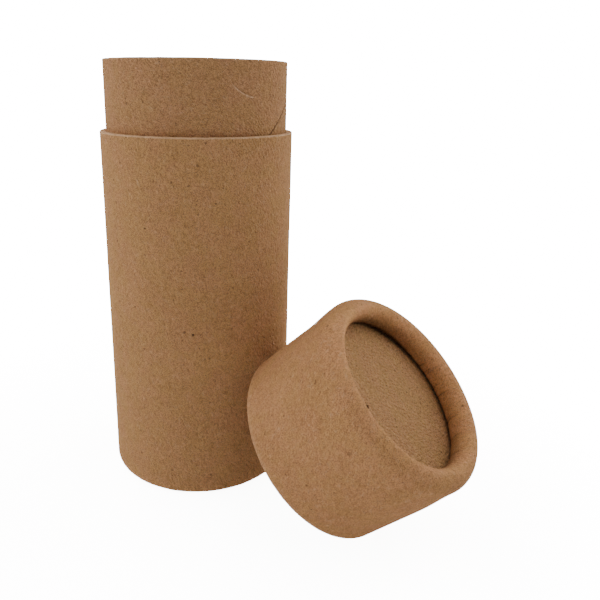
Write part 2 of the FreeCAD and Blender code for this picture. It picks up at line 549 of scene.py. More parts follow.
def add_piece(mesh, body, node, board, finish):
    """Puts a piece in the scene in place of its CAD node, riding on that node's body."""
    for material in (board, edge_material(finish)):
        mesh.materials.append(material)
    piece = bpy.data.objects.new(mesh.name, mesh)
    bpy.context.scene.collection.objects.link(piece)
    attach(piece, body)
    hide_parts(node)


class Sheet:
    """A strip of board as a grid: rows follow its outline and columns go round the axis.

    A column keeps its angle. With a climb, it goes round like a winding seam instead: it
    has its angle at the crossing and gains the rise along the board in a full turn.
    """

    def __init__(self, strip, right, left, column, cut_rows=7, climb=None):
        self.strip = strip
        self.along, self.across = board_outline(strip, right, left, cut_rows)
        self.around = column
        if climb:
            rise, crossing = climb
            self.around = column + FULL_TURN * (self.along - crossing) / rise
        self.on_outside = 0.5 - self.across / strip.wall
        self.far = smooth_step(self.along, strip.length - 1.0 * MM, strip.length)
        self.near = 1.0 - smooth_step(self.along, 0.0, 1.0 * MM)

    def uneven(self, seed, turns, wavelength, waves=14):
        """Unevenness over the sheet."""
        return unevenness(self.around, self.along, seed, turns, wavelength, waves)

    def bitten(self, depth, seed, turns):
        """How far a cut edge is bitten back, up to twice the depth and even across the edge."""
        return depth * (1.0 + unevenness(self.around, self.along * 0.0, seed, turns, 1.0, waves=20))

    def worn(self, end, reach_in=0.28 * MM):
        """Wear, 1 on the corners of a cut edge and fading with the distance along the face.

        End is 1 for the far edge and 0 for the near one.
        """
        return 1.0 - smooth_step(np.abs(self.along - end * self.strip.length), 0.06 * MM, reach_in)

    def lap(self, place, radius, side):
        """Overlap of the wrapping paper on the side: its drop and its dark line.

        The surface drops by the paper's thickness at the edge and comes back by e to the minus
        distance over 5 mm.
        """
        paper = 0.09 * MM
        past = apart(self.around, place) * radius
        fall = paper * smooth_step(past, -0.06 * MM, 0.06 * MM)
        drop = fall * np.exp(-np.maximum(past, 0.0) / (5.0 * MM))
        return drop * side, 0.5 * bell(past, 0.1 * MM) * side * self.on_outside

    def mesh(self, name, radius, along, across, layers):
        """Mesh of the sheet turned about the axis, its points moved to along and across.

        The ply is the share of the way through the board, and the paper is calmer inside.
        """
        strip = self.strip
        base_out, base_up = strip.place(self.along, self.across)
        layers = {
            "ply": self.across / strip.wall + 0.5, "calm": 0.65 * (1.0 - self.on_outside), **layers,
        }
        cut = (self.along > strip.length - 0.5 * strip.corner) | (self.along < 0.5 * strip.corner)
        points = turned(*strip.place(along, across), self.around)
        travelled = outline_length(base_out[:, 0], base_up[:, 0])
        return ring_mesh(name, points, self.around, travelled, radius, layers, cut[:, 0])


# -------------------------------------------------------------------------------- materials


class Wiring:
    """Adds nodes to a node tree. A socket given as a value is linked, anything else is set."""

    def __init__(self, tree):
        self.tree = tree

    def feed(self, socket, value):
        """Link a socket or set its value."""
        if isinstance(value, bpy.types.NodeSocket):
            self.tree.links.new(value, socket)
        else:
            socket.default_value = value

    def add(self, kind, inputs=None, **settings):
        """A new node with its settings and inputs."""
        node = self.tree.nodes.new(kind)
        for name, value in settings.items():
            setattr(node, name, value)
        for name, value in (inputs or {}).items():
            self.feed(node.inputs[name], value)
        return node

    def math(self, operation, first, second=0.5, clamp=False):
        """First and second joined by an operation."""
        return self.add(
            "ShaderNodeMath", {0: first, 1: second}, operation=operation, use_clamp=clamp
        ).outputs[0]

    def plus(self, first, second, clamp=False):
        """Sum, held between 0 and 1 if clamped."""
        return self.math("ADD", first, second, clamp)

    def minus(self, first, second):
        """Difference."""
        return self.math("SUBTRACT", first, second)

    def times(self, first, second):
        """Product."""
        return self.math("MULTIPLY", first, second)

    def vector(self, operation, first, second=(0.0, 0.0, 0.0)):
        """Outputs of two vectors joined by an operation: the vector, then the number."""
        return self.add("ShaderNodeVectorMath", {0: first, 1: second}, operation=operation).outputs

    def spun(self, vector, turn):
        """A vector turned about z."""
        inputs = {"Vector": vector, "Angle": turn}
        return self.add("ShaderNodeVectorRotate", inputs, rotation_type="Z_AXIS").outputs[0]

    def ramp(self, value, low, high, to_low=0.0, to_high=1.0):
        """Smooth step of a value from low to high."""
        return self.add(
            "ShaderNodeMapRange",
            {"Value": value, "From Min": low, "From Max": high, "To Min": to_low, "To Max": to_high},
            interpolation_type="SMOOTHSTEP",
        ).outputs[0]

    def blend(self, share, first, second, way="MIX"):
        """First and second colours mixed, or joined another way, by a share."""
        return self.add(
            "ShaderNodeMix", {0: share, 6: first, 7: second}, data_type="RGBA", blend_type=way
        ).outputs[2]

    def noise(self, vector, scale, detail=2.0, roughness=0.5, distortion=0.0):
        """Cloudy noise about 0.5, at scale features to the metre."""
        inputs = {"Vector": vector, "Scale": scale, "Detail": detail,
                  "Roughness": roughness, "Distortion": distortion}
        return self.add("ShaderNodeTexNoise", inputs).outputs[0]

    def centred(self, *noise):
        """Cloudy noise about 0."""
        return self.minus(self.noise(*noise), 0.5)

    def group(self, tree, inputs):
        """Outputs of a node group."""
        return self.add("ShaderNodeGroup", inputs, node_tree=tree).outputs

    def value(self, attribute):
        """Value that each vertex carries."""
        return self.add("ShaderNodeAttribute", attribute_name=attribute).outputs["Fac"]

    def object_place(self):
        """Place in the object's own coordinates."""
        return self.add("ShaderNodeTexCoord").outputs["Object"]

    def shader_mix(self, share, first, second):
        """First and second shaders mixed by a share."""
        return self.add("ShaderNodeMixShader", {0: share, 1: first, 2: second}).outputs[0]

    def finish(self, kind, surface):
        """The material's or the world's output."""
        self.feed(self.add(kind).inputs["Surface"], surface)


def new_group(name, inputs, outputs):
    """Empty shader node group. Inputs are numbers, colours (4 values) or vectors (None), and
    outputs numbers, or colours where named Color. Returns it, its wiring, ins and outs."""
    tree = bpy.data.node_groups.new(name, "ShaderNodeTree")
    for label, default in inputs.items():
        kind = "Float" if isinstance(default, float) else "Color" if default else "Vector"
        socket = tree.interface.new_socket(name=label, in_out="INPUT", socket_type="NodeSocket" + kind)
        if default is not None:
            socket.default_value = default
    for label in outputs:
        kind = "Color" if label == "Color" else "Float"
        tree.interface.new_socket(name=label, in_out="OUTPUT", socket_type="NodeSocket" + kind)
    ins = tree.nodes.new("NodeGroupInput").outputs
    outs = tree.nodes.new("NodeGroupOutput").inputs
    return tree, Wiring(tree), ins, outs


def fibre_group():
    """Mask of short straight fibres that lie about one direction on the sheet.

    Noise is stretched seven times along the direction, so its peaks are slim streaks. A
    cloudier noise thins them out, so that they end.
    """
    inputs = {"Sheet": None, "Angle": 0.0, "Slimness": 4200.0, "Amount": 0.5}
    tree, wiring, ins, outs = new_group("loose_fibres", inputs, ["Mask"])
    spun = wiring.spun(ins["Sheet"], ins["Angle"])
    slim = wiring.vector("MULTIPLY", spun, (0.14, 1.0, 1.0))[0]
    streak = wiring.noise(slim, ins["Slimness"], 0.0, distortion=0.25)
    patch = wiring.noise(spun, 700.0, 1.0)
    together = wiring.plus(streak, wiring.times(patch, 0.45))
    needed = wiring.minus(1.02, wiring.times(ins["Amount"], 0.2))
    wiring.feed(outs["Mask"], wiring.ramp(wiring.minus(together, needed), 0.0, 0.07))
    return tree


def fleck_group():
    """Mask of scattered dark flecks, such as bark and shives in recycled paper.

    Space is divided in cells, each with a random number. A cell whose number is high enough
    has a fleck at its centre, larger the higher the number, and noise warps its outline.
    """
    inputs = {"Place": None, "Cells": 300.0, "Largest": 0.09, "Share": 0.5}
    tree, wiring, ins, outs = new_group("bark_flecks", inputs, ["Mask"])
    warp = wiring.add("ShaderNodeTexNoise", {"Vector": ins["Place"], "Scale": 2600.0, "Detail": 1.0})
    shift = wiring.vector("SUBTRACT", warp.outputs[1], (0.5, 0.5, 0.5))[0]
    small = wiring.add("ShaderNodeVectorMath", {0: shift, "Scale": 0.0005}, operation="SCALE")
    place = wiring.vector("ADD", ins["Place"], small.outputs[0])[0]
    cells = wiring.add(
        "ShaderNodeTexVoronoi", {"Vector": place, "Scale": ins["Cells"], "Randomness": 1.0}
    ).outputs
    luck = wiring.add("ShaderNodeSeparateColor", {0: cells["Color"]}).outputs[0]
    chosen = wiring.minus(luck, wiring.minus(1.0, ins["Share"]))
    size = wiring.times(wiring.math("DIVIDE", chosen, ins["Share"], True), ins["Largest"])
    inside = wiring.minus(size, cells["Distance"])
    wiring.feed(outs["Mask"], wiring.ramp(inside, -0.004, 0.02))
    return tree


def spot_group():
    """Mask of one single speck at a given place, its outline warped by noise."""
    inputs = {"Place": None, "Centre": None, "Size": 0.0004}
    tree, wiring, ins, outs = new_group("single_speck", inputs, ["Mask"])
    away = wiring.vector("DISTANCE", ins["Place"], ins["Centre"])[1]
    ragged = wiring.times(wiring.centred(ins["Place"], 3800.0, 2.0, 0.7), 2.6)
    share_out = wiring.plus(wiring.math("DIVIDE", away, ins["Size"]), ragged)
    wiring.feed(outs["Mask"], wiring.ramp(share_out, 0.75, 1.15, 1.0, 0.0))
    return tree


def board_group():
    """Colour, roughness and height of kraft board.

    Tone = half, plus wide clouds, plus the mottle between fibres, plus fine grain. It mixes
    the shade colour with the paper colour. Curly fibres run where one noise passes its
    middle value, and a second noise thins them out. Wide patches lean a little to pink or to
    olive. Pale fibres, dark fibres and flecks lie over that, and the painted light and shade
    makes the board lighter or darker by its share. Then worn corners, partly painted
    highlight, turn pale, and painted shade in crevices, grooves, pleats and seams, with the
    laps' dark lines, turns dark. Height follows the same masks, so that what shows as a fibre
    also stands up, with dimples under them, and the calm takes its share of the height away.
    """
    inputs = {
        "Place": None, "Sheet": None,
        "Paper": (0.5, 0.25, 0.1, 1.0), "Shade": (0.3, 0.15, 0.06, 1.0),
        "Pale": (0.6, 0.4, 0.25, 1.0), "Fleck": (0.07, 0.03, 0.01, 1.0),
        "Mottle": 0.9, "Grain": 0.7, "Lie": 0.0, "WearAndHighlight": 0.0, "PaintedShadeAndLapLines": 0.0, "Lift": 0.0, "Calm": 0.0,
    }
    tree, wiring, ins, outs = new_group("kraft_board", inputs, ["Color", "Roughness", "Height"])
    plus, minus, times, centred = wiring.plus, wiring.minus, wiring.times, wiring.centred
    place, pale_colour, fleck_colour = ins["Place"], ins["Pale"], ins["Fleck"]

    cloud = centred(place, 120.0, 2.0)
    mottle = centred(place, 1000.0, 3.0, 0.65, 0.3)
    grain = centred(place, 4800.0, 2.0, 0.7)
    tone = plus(0.5, times(cloud, 0.8))
    tone = plus(tone, times(mottle, times(ins["Mottle"], 1.7)))
    tone = plus(tone, times(grain, times(ins["Grain"], 6.5)))
    shown = wiring.blend(tone, ins["Shade"], ins["Paper"])
    slim = wiring.vector("MULTIPLY", wiring.spun(ins["Sheet"], ins["Lie"]), (0.6, 1.0, 1.0))[0]
    dimple = centred(slim, 2100.0, 0.0, 0.5, 0.5)
    level = wiring.math("ABSOLUTE", centred(slim, 900.0, 1.0, 0.5, 0.6), 0.0)
    thinned = wiring.ramp(wiring.noise(place, 800.0, 1.0), 0.5, 0.62)
    curly = times(wiring.ramp(level, 0.012, 0.035, 1.0, 0.0), thinned)
    shown = wiring.blend(times(curly, 0.16), shown, pale_colour)
    patch = wiring.ramp(wiring.noise(place, 210.0, 2.0, 0.6), 0.36, 0.64)
    tint = wiring.blend(patch, (0.985, 1.006, 0.965, 1.0), (1.014, 0.993, 1.04, 1.0))
    shown = wiring.blend(1.0, shown, tint, "MULTIPLY")

    fibres, flecks = shared_group("loose_fibres", fibre_group), shared_group("bark_flecks", fleck_group)

    def lay(turn, slimness, amount):
        """Fibres at an angle from the sheet's lie."""
        return wiring.group(fibres, {
            "Sheet": ins["Sheet"], "Angle": plus(ins["Lie"], turn),
            "Slimness": slimness, "Amount": amount,
        })[0]

    def scatter(cells, largest, share_of_cells):
        """Flecks of one size range."""
        return wiring.group(flecks, {
            "Place": place, "Cells": cells, "Largest": largest, "Share": share_of_cells,
        })[0]

    pale = wiring.math("MAXIMUM", lay(0.35, 4600.0, 0.5), lay(-0.6, 4100.0, 0.42))
    dark = wiring.math("MAXIMUM", lay(-0.15, 4300.0, 0.45), lay(1.25, 3800.0, 0.32))
    fine, coarse = scatter(560.0, 0.16, 0.7), scatter(230.0, 0.08, 0.6)
    shown = wiring.blend(times(pale, 0.13), shown, pale_colour)
    for mask, strength in ((dark, 0.22), (fine, 0.5), (coarse, 0.45)):
        shown = wiring.blend(times(mask, strength), shown, fleck_colour)
    # painted light and shade: the colour times one plus the painted light layer
    painted_gain = plus(1.0, ins["Lift"])
    grey = wiring.add("ShaderNodeCombineColor", {0: painted_gain, 1: painted_gain, 2: painted_gain}).outputs[0]
    shown = wiring.blend(1.0, shown, grey, "MULTIPLY")
    # pale corners: worn fibre, and in places painted highlight
    pale_corner_share = times(ins["WearAndHighlight"], wiring.ramp(mottle, -0.2, 0.15, 0.45, 0.9))
    shown = wiring.blend(pale_corner_share, shown, pale_colour)
    # painted shade in crevices, grooves, pleats and seams, and the laps' dark lines, mixed towards the
    # fleck colour
    wiring.feed(outs["Color"], wiring.blend(ins["PaintedShadeAndLapLines"], shown, fleck_colour))
    wiring.feed(outs["Roughness"], plus(0.86, times(mottle, -0.25)))
    height = plus(times(mottle, 0.25), times(grain, 0.12))
    height = plus(height, plus(times(pale, 0.1), times(dimple, 1.25)))
    height = plus(height, times(curly, 0.25))
    height = minus(height, plus(times(dark, 0.1), times(fine, 0.15)))
    wiring.feed(outs["Height"], times(height, minus(1.0, ins["Calm"])))
    return tree


def core_group():
    """Colour and height of the board's cut edge: plies seen end on.

    Each ply is a band of the value across the board, its bounds moved by noise, and the
    saw's tearing shows as a fine pale and dark grain.
    """
    inputs = {
        "Place": None, "Across": 0.5,
        "Core": (0.5, 0.3, 0.2, 1.0), "Line": (0.3, 0.15, 0.06, 1.0), "Plies": 4.0,
    }
    tree, wiring, ins, outs = new_group("cut_plies", inputs, ["Color", "Height"])
    times = wiring.times
    across = wiring.plus(ins["Across"], times(wiring.centred(ins["Place"], 420.0, 2.0), 0.22))
    wave = wiring.math("COSINE", times(across, times(ins["Plies"], FULL_TURN)))
    line = wiring.ramp(wave, 0.35, 0.95)
    tear = wiring.centred(ins["Place"], 3300.0, 3.0, 0.65)
    dark = wiring.plus(times(line, 0.55), times(tear, 1.1), True)
    wiring.feed(outs["Color"], wiring.blend(dark, ins["Core"], ins["Line"]))
    wiring.feed(outs["Height"], wiring.minus(tear, times(line, 0.5)))
    return tree


def tinted(colour_value, factor, warmth=0.0):
    """A colour made darker or lighter; warmth takes from its green and twice from its blue."""
    red, green, blue = (c * factor for c in tuple(colour_value)[:3])
    return (min(red, 1.0), min(green * (1.0 - warmth), 1.0), min(blue * (1.0 - 2.0 * warmth), 1.0), 1.0)


def shared_group(name, make):
    """A node group made once and found again by its name."""
    return bpy.data.node_groups.get(name) or make()


def new_material(name):
    """Empty material's wiring, and the material."""
    material = bpy.data.materials.new(name)
    material.use_nodes = True
    material.node_tree.nodes.clear()
    return Wiring(material.node_tree), material


def matt_board(wiring, shown, height, relief, **settings):
    """Surface of board: a matt Principled shader over a bump."""
    bump = wiring.add("ShaderNodeBump", {"Height": height, "Strength": 1.0, "Distance": relief})
    inputs = {"Base Color": shown, "Normal": bump.outputs[0], **settings}
    shader = wiring.add("ShaderNodeBsdfPrincipled", inputs)
    wiring.finish("ShaderNodeOutputMaterial", shader.outputs[0])


def board_material(name, finish, base, lie=0.0, tooth=1.0, specks=()):
    """Kraft board: the shared board group, single specks and a matt shader.

    The paper colour is the base a little lighter and the shade colour a little darker, so
    their mean is the base. Lie is the direction of the fibres on the sheet, and tooth is
    how much stronger its grain and relief are than the finish says. Each speck is its place,
    its size and how dark it is.
    """
    wiring, material = new_material(name)
    place = wiring.object_place()
    board = wiring.group(shared_group("kraft_board", board_group), {
        "Place": place, "Sheet": wiring.add("ShaderNodeUVMap", uv_map="sheet").outputs[0],
        "WearAndHighlight": wiring.value("wear_and_highlight"), "PaintedShadeAndLapLines": wiring.value("crease"),
        "Lift": wiring.value("painted_light"), "Calm": wiring.value("calm"),
        "Paper": tinted(base, 1.22, -0.02), "Shade": tinted(base, 0.78, 0.03),
        "Pale": tuple(finish.pale), "Fleck": tuple(finish.fleck),
        "Mottle": finish.mottle, "Grain": finish.grain * tooth, "Lie": lie,
    })
    shown = board["Color"]
    for centre, size, strength in specks:
        inputs = {"Place": place, "Centre": tuple(centre), "Size": size}
        speck = wiring.group(shared_group("single_speck", spot_group), inputs)[0]
        shown = wiring.blend(wiring.times(speck, strength), shown, tuple(finish.fleck))
    settings = {"Roughness": board["Roughness"], "Specular IOR Level": 0.02, "Diffuse Roughness": 0.3}
    matt_board(wiring, shown, board["Height"], finish.relief * tooth, **settings)
    return material


def edge_material(finish):
    """Cut edge of the board, shared by every piece."""
    found = bpy.data.materials.get("board_cut_edge")
    if found:
        return found
    wiring, material = new_material("board_cut_edge")
    core = wiring.group(shared_group("cut_plies", core_group), {
        "Place": wiring.object_place(), "Across": wiring.value("ply"),
        "Core": tuple(finish.core), "Line": tinted(finish.body, 0.8),
    })
    settings = {"Roughness": 0.92, "Specular IOR Level": 0.08}
    matt_board(wiring, core["Color"], core["Height"], finish.relief, **settings)
    return material


# ---------------------------------------------------------------------------------- pieces


class PUSHUP_OT_outer_sleeve(bpy.types.Operator):
    """Wind the outer sleeve, its lower end curled in and up to make the foot"""

    bl_idname = "push_up_tube.outer_sleeve"
    bl_label = "Outer Sleeve"

    @staticmethod
    def path(sizes):
        """Path of its board from the top of the foot's lip, down, round the foot and up.

        The groove that takes the inner sleeve is as wide as its wall and a small gap. The
        inner radius of the foot's two bends is half of what their flat leaves of that.
        """
        half, groove_gap = sizes.wall / 2.0, 0.05 * MM
        groove = sizes.radius - sizes.wall - reach("inner_tube") + sizes.neck_wall + groove_gap
        groove = (groove - sizes.foot_flat) / 2.0
        foot_bend = groove + half
        rise = foot_bend + half
        lip = sizes.radius - 2.0 * rise - sizes.foot_flat + half
        moves = [
            run(sizes.foot_lip - rise), bend(foot_bend, 90.0), run(sizes.foot_flat),
            bend(foot_bend, 90.0), run(sizes.shoulder - rise),
        ]
        return Strip(lip, sizes.foot_lip, -90.0, moves, sizes.wall, corner=0.22 * MM)

    def execute(self, context):
        """Dent, lap and pleat the board, and leave a burr on its upper cut.

        The outside moves in by the side's dents, the lap's drop and the foot's pleats. The
        far cut moves up by the burr less what is bitten from it.
        """
        sizes, finish = context.scene.push_up_tube.sleeves, context.scene.push_up_tube.finish
        strip = self.path(sizes)
        right = strip.rows(126, lambda s: strip.crowding(s) + 25.0 * (s > strip.length - 1.0 * MM))
        left = strip.rows(52, lambda s: strip.crowding(s) + 6.0 * (s > strip.length - 1.5 * MM))
        sheet = Sheet(strip, right, left, columns(440, (sizes.lap_angle, 0.03, 9.0)))
        along, across, on_outside = sheet.along, sheet.across, sheet.on_outside

        side = smooth_step(along, 9.0 * MM, 14.0 * MM)
        dent = 0.025 * MM * (1.0 + sheet.uneven(seed=11, turns=7, wavelength=34.0 * MM))
        lap, lap_line = sheet.lap(sizes.lap_angle, sizes.radius, side)
        foot = smooth_step(along, 0.0, 2.0 * MM) * (1.0 - smooth_step(along, 6.0 * MM, 9.0 * MM))
        pleat = 0.03 * MM * foot * (1.0 + sheet.uneven(seed=12, turns=90, wavelength=9.0 * MM, waves=24))
        inward = on_outside * (dent * side + lap + pleat)
        bitten = sheet.bitten(0.03 * MM, seed=13, turns=46)
        # the upper cut keeps a low burr, so it stands a little above the shoulder's height
        burr = sheet.far * (0.36 * MM - bitten)
        side_from = strip.begin[4]
        layers = {
            # the upper cut's pale band is partly worn fibre and partly painted highlight on its corner
            "wear_and_highlight": np.maximum(sheet.worn(0), sheet.worn(1, 0.36 * MM)),
            # painted light on the foot's outside, lighter up to where the side starts
            "painted_light": 0.16 * on_outside
            * (1.0 - smooth_step(along, side_from - 1.2 * MM, side_from + 2.5 * MM)),
            "crease": lap_line,
        }
        mesh = sheet.mesh(
            "outer_sleeve", sizes.radius, along + burr + sheet.near * bitten, across + inward, layers
        )
        low = on_side(sizes.radius, 40.7 * MM, -94.4)
        high = on_side(sizes.radius, 63.75 * MM, -121.0)
        specks = [(low, 0.32 * MM, 0.85), (high, 0.24 * MM, 0.85)]
        board = board_material("body_board", finish, finish.body, lie=1.2, tooth=1.15, specks=specks)
        add_piece(mesh, "tube", "outer_tube", board, finish)
        return {"FINISHED"}


class PUSHUP_OT_neck_sleeve(bpy.types.Operator):
    """Wind the inner sleeve, whose upper end is the neck, with its winding seam"""

    bl_idname = "push_up_tube.neck_sleeve"
    bl_label = "Neck Sleeve"

    def execute(self, context):
        """Dent the board, groove it along the seams and crease its paper once.

        The outside moves in by the seam's groove and step, the dents and the crease's hollow
        less its ridge. The inside moves out by the groove of the lining's seam.
        """
        sizes, finish = context.scene.push_up_tube.sleeves, context.scene.push_up_tube.finish
        radius, bottom_end = sizes.neck_radius, sizes.neck_bottom
        moves = [run(sizes.neck_top - bottom_end)]
        wall = sizes.neck_wall
        strip = Strip(radius - wall / 2.0, bottom_end, 90.0, moves, wall, corner=0.2 * MM)
        shoulder = sizes.shoulder - bottom_end
        crease_at = sizes.neck_top - 6.3 * MM - bottom_end
        crease_turn = math.radians(-61.5) - FULL_TURN * (crease_at - shoulder) / sizes.seam_rise
        right = strip.rows(104, lambda s: (
            0.12 + 3.0 * (s > shoulder - 1.0 * MM) + 9.0 * bell(s - crease_at, 1.7 * MM)
        ))
        left = strip.rows(46, lambda s: 1.0 + 2.0 * (s > strip.length - 3.0 * MM))
        column = columns(500, (sizes.seam_angle, 0.03, 14.0), (crease_turn, 0.17, 3.5))
        sheet = Sheet(strip, right, left, column, climb=(sizes.seam_rise, shoulder))
        along, across, on_outside = sheet.along, sheet.across, sheet.on_outside
        on_inside = 1.0 - on_outside

        # the seam is a groove where two turns of paper meet, one of them standing proud
        from_seam = apart(column, sizes.seam_angle) * radius
        groove = 0.14 * MM * bell(from_seam, 0.14 * MM)
        step = 0.05 * MM * smooth_step(from_seam, -0.05 * MM, 0.05 * MM)
        step = step * np.exp(-np.maximum(from_seam, 0.0) / (2.5 * MM))
        dent = 0.02 * MM * (1.0 + sheet.uneven(seed=21, turns=8, wavelength=22.0 * MM))

        # a short crease in the paper: a ridge that curves down, with a hollow over it
        from_crease, along_crease = self.crease(sheet.around, along, crease_at, radius)
        fading = 1.0 - smooth_step(np.abs(along_crease + 0.8 * MM), 1.9 * MM, 3.1 * MM)
        ridge = 0.02 * MM * bell(from_crease, 0.12 * MM) * fading
        hollow = 0.06 * MM * bell(from_crease - 0.26 * MM, 0.16 * MM) * fading
        inward = on_outside * (groove + step + dent + hollow - ridge)
        inward = np.where(across < 0.0, np.maximum(inward, 0.0), inward)
        from_lining = apart(column, sizes.seam_angle + 2.1) * radius
        outward = on_inside * 0.09 * MM * bell(from_lining, 0.12 * MM)

        bitten = sheet.bitten(0.02 * MM, seed=23, turns=40)
        # painted shade in the seam's groove, just above the shoulder, in the crease's hollow and in the
        # lining's seam groove inside
        seam_groove_shade = 0.95 * bell(from_seam + 0.06 * MM, 0.3 * MM)
        shoulder_shade = 0.1 * bell(along - shoulder - 0.3 * MM, 0.2 * MM)
        crease_hollow_shade = 0.3 * bell(from_crease - 0.26 * MM, 0.13 * MM) * fading
        outside_shades = np.maximum(np.maximum(seam_groove_shade, shoulder_shade), crease_hollow_shade)
        layers = {
            # pale on the crease's ridge, partly worn fibre and partly painted highlight
            "wear_and_highlight": np.maximum(sheet.worn(1), 0.9 * on_outside * bell(from_crease, 0.14 * MM) * fading),
            "crease": np.maximum(
                on_outside * outside_shades, on_inside * 0.6 * bell(from_lining, 0.11 * MM)),
        }
        mesh = sheet.mesh(
            "neck_sleeve", radius, along - sheet.far * bitten, across + inward - outward, layers
        )
        board = board_material("neck_board", finish, finish.neck, lie=0.64, tooth=1.3)
        add_piece(mesh, "tube", "inner_tube", board, finish)
        return {"FINISHED"}

    @staticmethod
    def crease(around, along, height, radius):
        """Distances across and along the short crease.

        It starts steep and flattens: its line falls with the square of what is left to its
        end, so the distance across is the height over that line.
        """
        sideways = apart(around, math.radians(-60.6)) * radius
        left_over = np.minimum(sideways - 2.3 * MM, 0.0)
        line = height - 1.2 * MM + 0.077 * left_over**2 / MM
        return along - line, sideways


def curl_painted_light(sheet, highlight_angle=math.radians(125.0)):
    """Painted light and shade on the curl: how much lighter or darker its colour is made than the
    side's.

    It grows in smooth steps to 0.16 over the shoulder and to 0.48 over the crest, and falls
    by 0.8 on the way down the lip, as painted shade. Bell curves round the axis change that.
    About the given angle, 125 degrees, the whole shoulder gets a painted highlight. Past it,
    70 degrees on, the crest's painted light is weaker and, 120 degrees on, it gets a little
    painted shade. The lip's painted shade is deeper 63 degrees before it and weaker 205
    degrees past it.
    """
    along, strip = sheet.along, sheet.strip

    def near(turn, width):
        """Bell curve about an angle past the rubbed angle."""
        return bell(apart(sheet.around, highlight_angle + turn), width)

    shoulder, crest, lip = strip.begin[1:4]
    # painted highlight on the shoulder, weaker painted light on the crest further round, a patch of
    # painted shade, and painted shade down the lip
    shoulder_highlight, pressed, crest_shade_patch = near(0.0, 0.55), 1.0 - 0.8 * near(1.22, 1.5), near(2.1, 0.4)
    lip_shade = 0.8 + 0.2 * near(-1.1, 0.5) - 0.55 * near(3.58, 0.9)
    painted_light = 0.16 * smooth_step(along, (shoulder + crest) / 2.0, (crest + lip) / 2.0)
    painted_light = painted_light + 0.25 * shoulder_highlight * smooth_step(along, shoulder - 1.0 * MM, crest)
    painted_light = painted_light + (0.32 * pressed - 0.16 * shoulder_highlight) * smooth_step(along, crest, lip)
    painted_light = painted_light - 0.12 * crest_shade_patch * smooth_step(along, shoulder, crest)
    down_lip = smooth_step(along, lip, lip + 0.65 * (strip.length - lip))
    return sheet.on_outside * (painted_light - lip_shade * down_lip)


def cap_strip(sizes):
    """Path of the cap's board, from its open rim over the crest to the end of the lip."""
    return curled_strip(sizes, 0.0, sizes.height, sizes.recess, corner=0.22 * MM, lip_gap=sizes.lip_gap)


class PUSHUP_OT_cap_board(bpy.types.Operator):
    """Wind the cap's ring, its closed end curled in over the disc, and lay it down"""

    bl_idname = "push_up_tube.cap_board"
    bl_label = "Cap Board"

    def execute(self, context):
        """Dent, lap and pleat the board, and paint shade on its lip's end and along its pleats.

        A pleat is a coarse and a fine unevenness added up, held above 0 and deepened by a
        smooth step towards the lip.
        """
        sizes, finish = context.scene.push_up_tube.cap, context.scene.push_up_tube.finish
        strip = cap_strip(sizes)
        around = columns(720, (sizes.lap_angle, 0.03, 7.0))
        sheet = Sheet(strip, strip.rows(74), strip.rows(36), around, cut_rows=5)
        along, on_outside = sheet.along, sheet.on_outside

        side = 1.0 - smooth_step(along, strip.begin[1] - 1.0 * MM, strip.begin[1] + 3.0 * MM)
        dent = 0.02 * MM * (1.0 + sheet.uneven(seed=31, turns=6, wavelength=26.0 * MM))
        lap, lap_line = sheet.lap(sizes.lap_angle, sizes.radius, side)
        # gathered paper: pleats that start on the crest and deepen towards the lip
        gathered = smooth_step(along, strip.begin[2] + 1.0 * MM, strip.length)
        coarse = sheet.uneven(seed=32, turns=60, wavelength=40.0 * MM, waves=24)
        fine = sheet.uneven(seed=33, turns=150, wavelength=7.0 * MM, waves=48)
        pleat = 0.06 * MM * gathered * np.maximum(0.7 + 0.7 * coarse + fine, 0.0)
        # painted shade along the pleats' folds
        pleat_fold_shade = 0.5 * gathered * on_outside * smooth_step(fine + 0.5 * coarse, 0.6, 1.2)
        # painted shade on the lip's end where it meets the disc, most of all about the angle set on the
        # cap
        from_shade_angle = apart(around, sizes.crevice_shade_angle)
        shade_reach = 0.6 * MM + 1.4 * MM * bell(from_shade_angle, 0.5)
        lip_end_shade = (0.45 + 0.35 * bell(from_shade_angle, 0.9)) * on_outside
        lip_end_shade = lip_end_shade * smooth_step(along, strip.length - shade_reach, strip.length - 0.3 * shade_reach)
        bitten = sheet.bitten(0.04 * MM, seed=34, turns=46)
        layers = {
            "wear_and_highlight": sheet.worn(0),
            "crease": np.maximum(np.maximum(lap_line, pleat_fold_shade), lip_end_shade),
            # painted light and shade on the curl
            "painted_light": curl_painted_light(sheet),
        }
        across = sheet.across + on_outside * (dent + lap + pleat)
        mesh = sheet.mesh("cap_board", sizes.radius, along + sheet.near * bitten, across, layers)
        lay_down(mesh, sizes)
        speck = laid(on_side(sizes.radius, 20.0 * MM, 183.0)[None, :], sizes)[0]
        specks = [(speck, 0.48 * MM, 0.4)]
        board = board_material("cap_board", finish, finish.cap, lie=1.0, tooth=0.7, specks=specks)
        add_piece(mesh, "tube", "cap_shell", board, finish)
        return {"FINISHED"}


